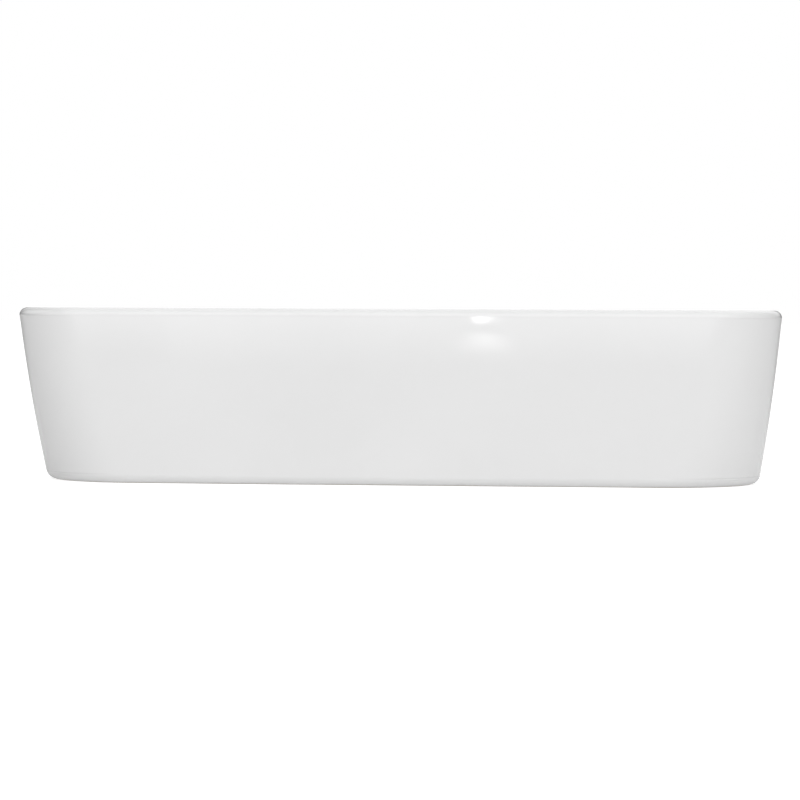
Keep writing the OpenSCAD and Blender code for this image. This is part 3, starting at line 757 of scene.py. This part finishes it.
class WASHBASIN_OT_ceramic(Operator):
    """Build the glazed ceramic shell as one closed surface"""

    bl_idname = "washbasin.ceramic"
    bl_label = "Ceramic Shell"

    def execute(self, context):
        shell = close_shell("ceramic_shell", shell_grid(context.scene.basin_form))
        glaze = glaze_material(context.scene.basin_finishes)
        dress(shell, glaze, "basin", "basin")
        return {"FINISHED"}


class WASHBASIN_OT_flange(Operator):
    """Build the waste's flange with its dished seat and threaded shank"""

    bl_idname = "washbasin.flange"
    bl_label = "Waste Flange"

    def execute(self, context):
        w = context.scene.basin_waste
        low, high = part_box("waste_flange")
        edge, top = high[0], high[2]
        under = top - w.flange_thickness
        dish = top - w.dish_depth
        fall, crown, bevel = 0.4 * MM, 3 * MM, 1.2 * MM
        corners = [
            (w.water_radius, low[2], 0.3),
            (w.shank_radius, low[2], 0.8),
            (w.shank_radius, under, 0.1),
            (edge, under, 0.6),
            (edge, top - fall, 1.0),
            (w.dish_radius + crown, top, 3.0),
            (w.dish_radius + bevel, top, 0.5),
            (w.dish_radius, dish, 0.3),
            (w.water_radius, dish, 1.2),
        ]
        grooves = thread(w.shank_radius, low[2] + MM, under - 2 * MM, pitch=1.5 * MM, depth=0.75 * MM)
        flange = turned("flange_dish", corners, 160, 0.25, grooves)
        dress(flange, shared("polished_chrome"), "basin", "waste_flange")
        return {"FINISHED"}


def arm_grid(inner, outer, low, high, width, turn):
    """A spider's arm: a rounded box section carried out along a radius, which flares where it meets hub and wall.

    The section is a superellipse: the cosine and the sine of its turn, raised to a power below 1.
    """
    u = np.linspace(0, 1, 17)[:, None]
    v = np.linspace(0, 2 * math.pi, 24, endpoint=False)[None, :]
    flare = 1 + 0.7 * np.abs(2 * u - 1) ** 5
    half_w, half_h = width / 2 * flare, (high - low) / 2 * np.ones_like(u)
    power = 0.45
    across = np.sign(np.cos(v)) * np.abs(np.cos(v)) ** power * half_w
    upward = np.sign(np.sin(v)) * np.abs(np.sin(v)) ** power * half_h + (low + high) / 2
    along = np.broadcast_to(inner + (outer - inner) * u, across.shape)
    x = along * math.cos(turn) - across * math.sin(turn)
    y = along * math.sin(turn) + across * math.cos(turn)
    return np.stack([x, y, upward], -1)


class WASHBASIN_OT_tail(Operator):
    """Build the waste's tail: clamping collar, socket, pipe thread and the spider that carries the cartridge"""

    bl_idname = "washbasin.tail"
    bl_label = "Waste Tail"

    def execute(self, context):
        w = context.scene.basin_waste
        low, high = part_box("waste_tail")
        foot, top, collar = low[2], high[2], high[0]
        chamfer, cone = MM, 3 * MM
        socket = w.shank_radius + w.thread_gap
        wall = socket + 3.2 * MM
        step = foot + chamfer + w.tail_thread
        corners = [
            (w.water_radius, foot, 0.2),
            (w.tail_radius - chamfer, foot, 0.2),
            (w.tail_radius, foot + chamfer, 0.2),
            (w.tail_radius, step, 0.2),
            (wall, step, 0.6),
            (wall, top - w.collar_thickness - cone, 2.0),
            (collar, top - w.collar_thickness, 0.6),
            (collar, top, 0.6),
            (socket, top, 0.3),
            (socket, step + MM, 0.2),
            (w.water_radius, step + MM, 0.3),
        ]
        grooves = thread(w.tail_radius, foot, step - 0.5 * MM, w.tail_pitch, depth=1.48 * MM)
        body = turned("tail_body", corners, 160, 0.2, grooves)
        bore = w.sleeve_radius + w.thread_gap
        hub_out = bore + w.hub_wall
        hub_top = w.hub_low + w.hub_height
        parts = [body, turned("tail_hub", ring(bore, hub_out, w.hub_low, hub_top, 0.5), 96, step=1)]
        sunk = 0.8 * MM  # How far an arm reaches into the hub and into the wall
        for k in range(w.arms):
            turn = math.pi / 2 + 2 * math.pi * k / w.arms
            arm = arm_grid(hub_out - sunk, w.water_radius + sunk, w.hub_low, hub_top, w.arm_width, turn)
            parts.append(close_shell(f"tail_arm_{k}", arm, ends="poles"))
        dress(join(parts), shared("polished_chrome"), "basin", "waste_tail")
        return {"FINISHED"}


def flat_ring(name, node, inner, ease):
    """A flat ring that fills a CAD node's box."""
    low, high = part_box(node)
    return turned(name, ring(inner, high[0], low[2], high[2], ease), 144)


class WASHBASIN_OT_seals(Operator):
    """Build the rubber rings and the slip washer"""

    bl_idname = "washbasin.seals"
    bl_label = "Seals and Washer"

    def execute(self, context):
        w, finish = context.scene.basin_waste, context.scene.basin_finishes
        rubber = shared("black_rubber")
        bore = w.shank_radius + w.seal_gap
        upper = flat_ring("upper_seal_ring", "flange_seal", bore, 0.5)
        dress(upper, rubber, "basin", "flange_seal")

        # A nose on this ring's inner edge centres it in the drain hole
        low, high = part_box("underside_seal")
        form, outer = context.scene.basin_form, high[0]
        hole, ceiling = form.hole_radius, form.hollow_height
        corners = [
            (bore, low[2], 0.3),
            (outer, low[2], 1.0),
            (outer, ceiling, 1.0),
            (hole - 0.3 * MM, ceiling, 0.1),
            (hole - MM, high[2], 0.4),
            (bore, high[2], 0.3),
        ]
        lower = turned("lower_seal_ring", corners, 144)
        dress(lower, rubber, "basin", "underside_seal")

        washer = flat_ring("slip_ring", "slip_washer", bore, 0.3)
        white = plastic_material("washer_plastic", finish.washer, 0.35, 0.2)
        dress(washer, white, "basin", "slip_washer")

        groove = w.hub_radius - w.seal_groove + 0.05 * MM
        lip = flat_ring("plug_seal_ring", "plug_seal", groove, 0.7)
        dress(lip, rubber, "plug", "plug_seal")
        return {"FINISHED"}


class WASHBASIN_OT_cartridge(Operator):
    """Build the cartridge's threaded sleeve and its knurled guide bush"""

    bl_idname = "washbasin.cartridge"
    bl_label = "Cartridge"

    def execute(self, context):
        w = context.scene.basin_waste
        brass = shared("turned_brass")
        low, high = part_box("cartridge_sleeve")
        bush_low, bush_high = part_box("guide_bush")
        guide = w.stem_radius + w.slide_gap
        flats, hex_low = high[1] * 2, w.hub_low + w.hub_height
        hex_high, outer = hex_low + 3 * MM, w.sleeve_radius
        corner, facet, drop = flats / math.sqrt(3), 0.7 * MM, 0.4 * MM
        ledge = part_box("latch_ring")[0][2] - 0.1 * MM
        floor = low[2] + 1.5 * MM
        corners = [
            (POLE, low[2], 0),
            (outer, low[2], 0.5),
            (outer, hex_low, 0.1),
            (corner - facet, hex_low, 0.05),
            (corner, hex_low + drop, 0.1),
            (corner, hex_high - drop, 0.1),
            (corner - facet, hex_high, 0.05),
            (outer, hex_high, 0.2),
            (outer, high[2], 0.2),
            (w.chamber_radius, high[2], 0.2),
            (w.chamber_radius, ledge, 0.1),
            (guide, ledge, 0.2),
            (guide, floor, 0.2),
            (POLE, floor, 0),
        ]
        hexed = hexagon(flats, hex_low - 1e-6, hex_high + 1e-6)
        cut = thread(outer, low[2] + 0.4 * MM, hex_low - 0.2 * MM, pitch=1.25 * MM, depth=0.6 * MM)
        sleeve = turned("cartridge_tube", corners, 144, 0.25, hexed, cut, ends="poles")
        dress(sleeve, brass, "basin", "cartridge_sleeve")

        inside = w.chamber_radius - w.thread_gap
        head = bush_high[0]
        corners = [
            (guide, bush_low[2], 0.3),
            (inside, bush_low[2], 0.3),
            (inside, high[2], 0.1),
            (head, high[2], 0.2),
            (head, bush_high[2], 0.8),
            (guide, bush_high[2], 0.4),
        ]

        def knurl(r, z, turn):
            """Ridges round the head's outermost 0.9 mm: a cosine of the turn, a fifth of a millimetre deep."""
            ridges, depth = 48, 0.2 * MM
            on = (r > head - 0.9 * MM) & (z > high[2])
            return np.where(on, -depth / 2 * (1 + np.cos(turn * ridges)), 0.0)

        bush = turned("guide_bush_turned", corners, 288, 0.3, knurl)
        dress(bush, brass, "basin", "guide_bush")
        return {"FINISHED"}


class WASHBASIN_OT_latch(Operator):
    """Wind the spring, and finish the latch ring and the stem"""

    bl_idname = "washbasin.latch"
    bl_label = "Latch and Spring"

    def execute(self, context):
        w, finish = context.scene.basin_waste, context.scene.basin_finishes
        low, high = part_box("click_spring")
        radius = high[0] - w.wire / 2
        u = np.linspace(0, 1, w.turns * 48 + 1)[:, None]
        v = np.linspace(0, 2 * math.pi, 12, endpoint=False)[None, :]
        turn = 2 * math.pi * w.turns * u
        dead = 1 / w.turns  # The share of the wire in each dead end turn, which lies close to the next
        base, top, close = low[2] + w.wire / 2, high[2] - w.wire / 2, 1.15 * w.wire
        rise = np.interp(u, [0, dead, 1 - dead, 1], [base, base + close, top - close, top])
        r = radius + w.wire / 2 * np.cos(v)
        grid = np.stack([r * np.cos(turn), r * np.sin(turn), rise + w.wire / 2 * np.sin(v)], -1)
        spring = close_shell("wound_spring", grid, ends="poles")
        dress(spring, steel_material(finish), "basin", "click_spring")
        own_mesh(spring)
        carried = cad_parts
        latch = plastic_material("latch_plastic", finish.latch, 0.3, 0.1)
        repaint(carried["latch_ring"], latch)
        repaint(carried["plug_stem"], shared("polished_chrome"))
        return {"FINISHED"}


class WASHBASIN_OT_plug(Operator):
    """Build the domed plug and its lock nut"""

    bl_idname = "washbasin.plug"
    bl_label = "Plug"

    def execute(self, context):
        w = context.scene.basin_waste
        low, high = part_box("plug_cap")
        seal_low, seal_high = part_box("plug_seal")
        rim, top = high[0], high[2]
        edge_z = top - w.dome_height - w.plug_edge
        dome = (rim**2 + w.dome_height**2) / (2 * w.dome_height)
        hole = w.plug_thread + w.thread_gap
        hole_top = edge_z + w.plug_edge - w.plug_skin + 1.3 * MM  # Blind end of the stem's hole
        inner = rim - w.plug_skin
        hub, groove = w.hub_radius, w.hub_radius - w.seal_groove

        def height(r):
            """Height of the dome over radius r, on one sphere."""
            return top - dome + np.sqrt(dome**2 - r**2)

        under = [(r, height(r) - w.plug_skin, 0) for r in np.linspace(hub, inner - MM, 24)[1:]]
        over = [(r, height(r), 0) for r in np.linspace(rim - MM, POLE, 60)]
        corners = [
            (POLE, hole_top, 0),
            (hole, hole_top, 0.2),
            (hole, low[2], 0.3),
            (hub, low[2], 0.4),
            (hub, seal_low[2], 0.15),
            (groove, seal_low[2], 0.1),
            (groove, seal_high[2], 0.1),
            (hub, seal_high[2], 0.1),
            (hub, height(hub) - w.plug_skin, 0.6),
            *under,
            (inner, edge_z, 0.4),
            (rim, edge_z, 0.6),
            (rim, edge_z + w.plug_edge - 0.3 * MM, 0.7),
            *over,
        ]
        cap = turned("plug_dome", corners, 160, 0.8, ends="poles", steps=8)
        dress(cap, shared("polished_chrome"), "plug", "plug_cap")

        low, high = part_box("stem_nut")
        flats = high[1] * 2
        corner = flats / math.sqrt(3)
        face, drop = flats / 2 - 0.2 * MM, 0.6 * (corner - flats / 2)
        corners = [
            (hole, low[2], 0.4),
            (face, low[2], 0.1),
            (corner, low[2] + drop, 0.05),
            (corner, high[2] - drop, 0.05),
            (face, high[2], 0.1),
            (hole, high[2], 0.4),
        ]
        hexed = hexagon(flats, low[2] - MM, high[2] + MM)
        nut = turned("lock_nut", corners, 180, 0.25, hexed)
        dress(nut, shared("turned_brass"), "plug", "stem_nut")
        return {"FINISHED"}


def floor_grid(radius, thick=20 * MM):
    """Grid of a round slab whose top lies at height 0, in rings that widen outwards."""
    rings = np.array([0.3, 0.6, 1.0, 2.0, 4.0, 9.0, radius])[:, None]
    turn = np.linspace(0, 2 * math.pi, 72, endpoint=False)[None, :]
    x, y = rings * np.cos(turn), rings * np.sin(turn)
    top = np.stack([x, y, np.zeros_like(x)], -1)
    return np.vstack([top, top[::-1] - (0, 0, thick)])


# Each lamp is made of layers, so that its edges are soft. A layer is width, height, place along X and place along Z,
# all in millimetres, and a share of the brightness. It stands 1 mm further from the basin than the one before,
# because the glaze shows layers at one depth as one.
SPARK_LAYERS = ((15, 40.4, 0.6), (21.5, 43.2, 0.3), (39, 43.4, 0.1))  # Width, place along X, share
LAMPS = (  # Name, shape, place along Y of the first layer, the setting that holds the brightness, layers
    ("spark_foot", "ELLIPSE", -700, "spark", [(wide, 4, x, 30.6, share) for wide, x, share in SPARK_LAYERS]),
    ("spark_strip", "RECTANGLE", -700, "spark", [(wide, 140, x, 100.6, share) for wide, x, share in SPARK_LAYERS]),
    (
        "glow_lamp", "ELLIPSE", -598, "glow",
        [
            (12, 8, 50.2, 26, 0.2), (22, 13, 50.2, 25.5, 0.2), (32, 18, 50.2, 24.5, 0.2),
            (44, 24, 50.2, 23, 0.2), (56, 30, 50.2, 21, 0.2),
        ],
    ),
    (
        "sheen_lamp", "RECTANGLE", -550, "sheen",
        [(520, 110, 20, 65, 0.25), (760, 96, 20, 72, 0.25), (1000, 82, 20, 79, 0.25), (1240, 68, 20, 86, 0.25)],
    ),
)


class WASHBASIN_OT_stage(Operator):
    """Lay the pale floor, light it softly and set the camera"""

    bl_idname = "washbasin.stage"
    bl_label = "Studio"

    def execute(self, context):
        scene, s = context.scene, context.scene.basin_studio
        floor = close_shell("studio_floor", floor_grid(s.floor_radius), ends="poles")
        floor.data.materials.append(floor_material(s))
        scene.world = studio_walls(s)
        for name, shape, depth, setting, layers in LAMPS:
            for step, (wide, high, x, z, share) in enumerate(layers):
                place = Vector((x, depth - step, z)) * MM
                lamp(name, shape, wide * MM, high * MM, place, getattr(s, setting) * share)

        lens = bpy.data.cameras.new("studio_camera")
        lens.lens, lens.sensor_width = s.focal, 36.0
        lens.clip_start, lens.clip_end = 0.05, 200.0
        camera = add_object("studio_camera", lens)
        camera.matrix_world = (
            Matrix.Translation(s.camera)
            @ Matrix.Rotation(s.heading, 4, "Z")
            @ Matrix.Rotation(math.pi / 2 - s.pitch, 4, "X")
            @ Matrix.Rotation(s.roll, 4, "Z")
        )
        scene.camera = camera
        view = scene.view_settings
        view.view_transform, view.look = "Standard", "None"
        return {"FINISHED"}


class WASHBASIN_PT_parts(Panel):
    """Lists the operators in the order of the build"""

    bl_idname = "WASHBASIN_PT_parts"
    bl_label = "Basin"
    bl_space_type = "VIEW_3D"
    bl_region_type = "UI"
    bl_category = "Basin"

    def draw(self, context):
        for operator in OPERATORS:
            self.layout.operator(operator.bl_idname)
        for group in GROUPS:
            box = self.layout.box()
            values = getattr(context.scene, group)
            for name in GROUPS[group].__annotations__:
                box.prop(values, name)


OPERATORS = (
    WASHBASIN_OT_ceramic,
    WASHBASIN_OT_flange,
    WASHBASIN_OT_tail,
    WASHBASIN_OT_seals,
    WASHBASIN_OT_cartridge,
    WASHBASIN_OT_latch,
    WASHBASIN_OT_plug,
    WASHBASIN_OT_stage,
)
GROUPS = {
    "basin_form": BasinForm,
    "basin_waste": WasteForm,
    "basin_finishes": Finishes,
    "basin_studio": Studio,
}


def register():
    for made in (*GROUPS.values(), *OPERATORS, WASHBASIN_PT_parts):
        bpy.utils.register_class(made)
    for name, group in GROUPS.items():
        setattr(bpy.types.Scene, name, PointerProperty(type=group))


def unregister():
    for name in GROUPS:
        delattr(bpy.types.Scene, name)
    for made in (WASHBASIN_PT_parts, *reversed(OPERATORS), *reversed(GROUPS.values())):
        bpy.utils.unregister_class(made)


def main():
    register()
    bpy.ops.washbasin.ceramic()
    bpy.ops.washbasin.flange()
    bpy.ops.washbasin.tail()
    bpy.ops.washbasin.seals()
    bpy.ops.washbasin.cartridge()
    bpy.ops.washbasin.latch()
    bpy.ops.washbasin.plug()
    bpy.ops.washbasin.stage()


if __name__ == "__main__":
    main()
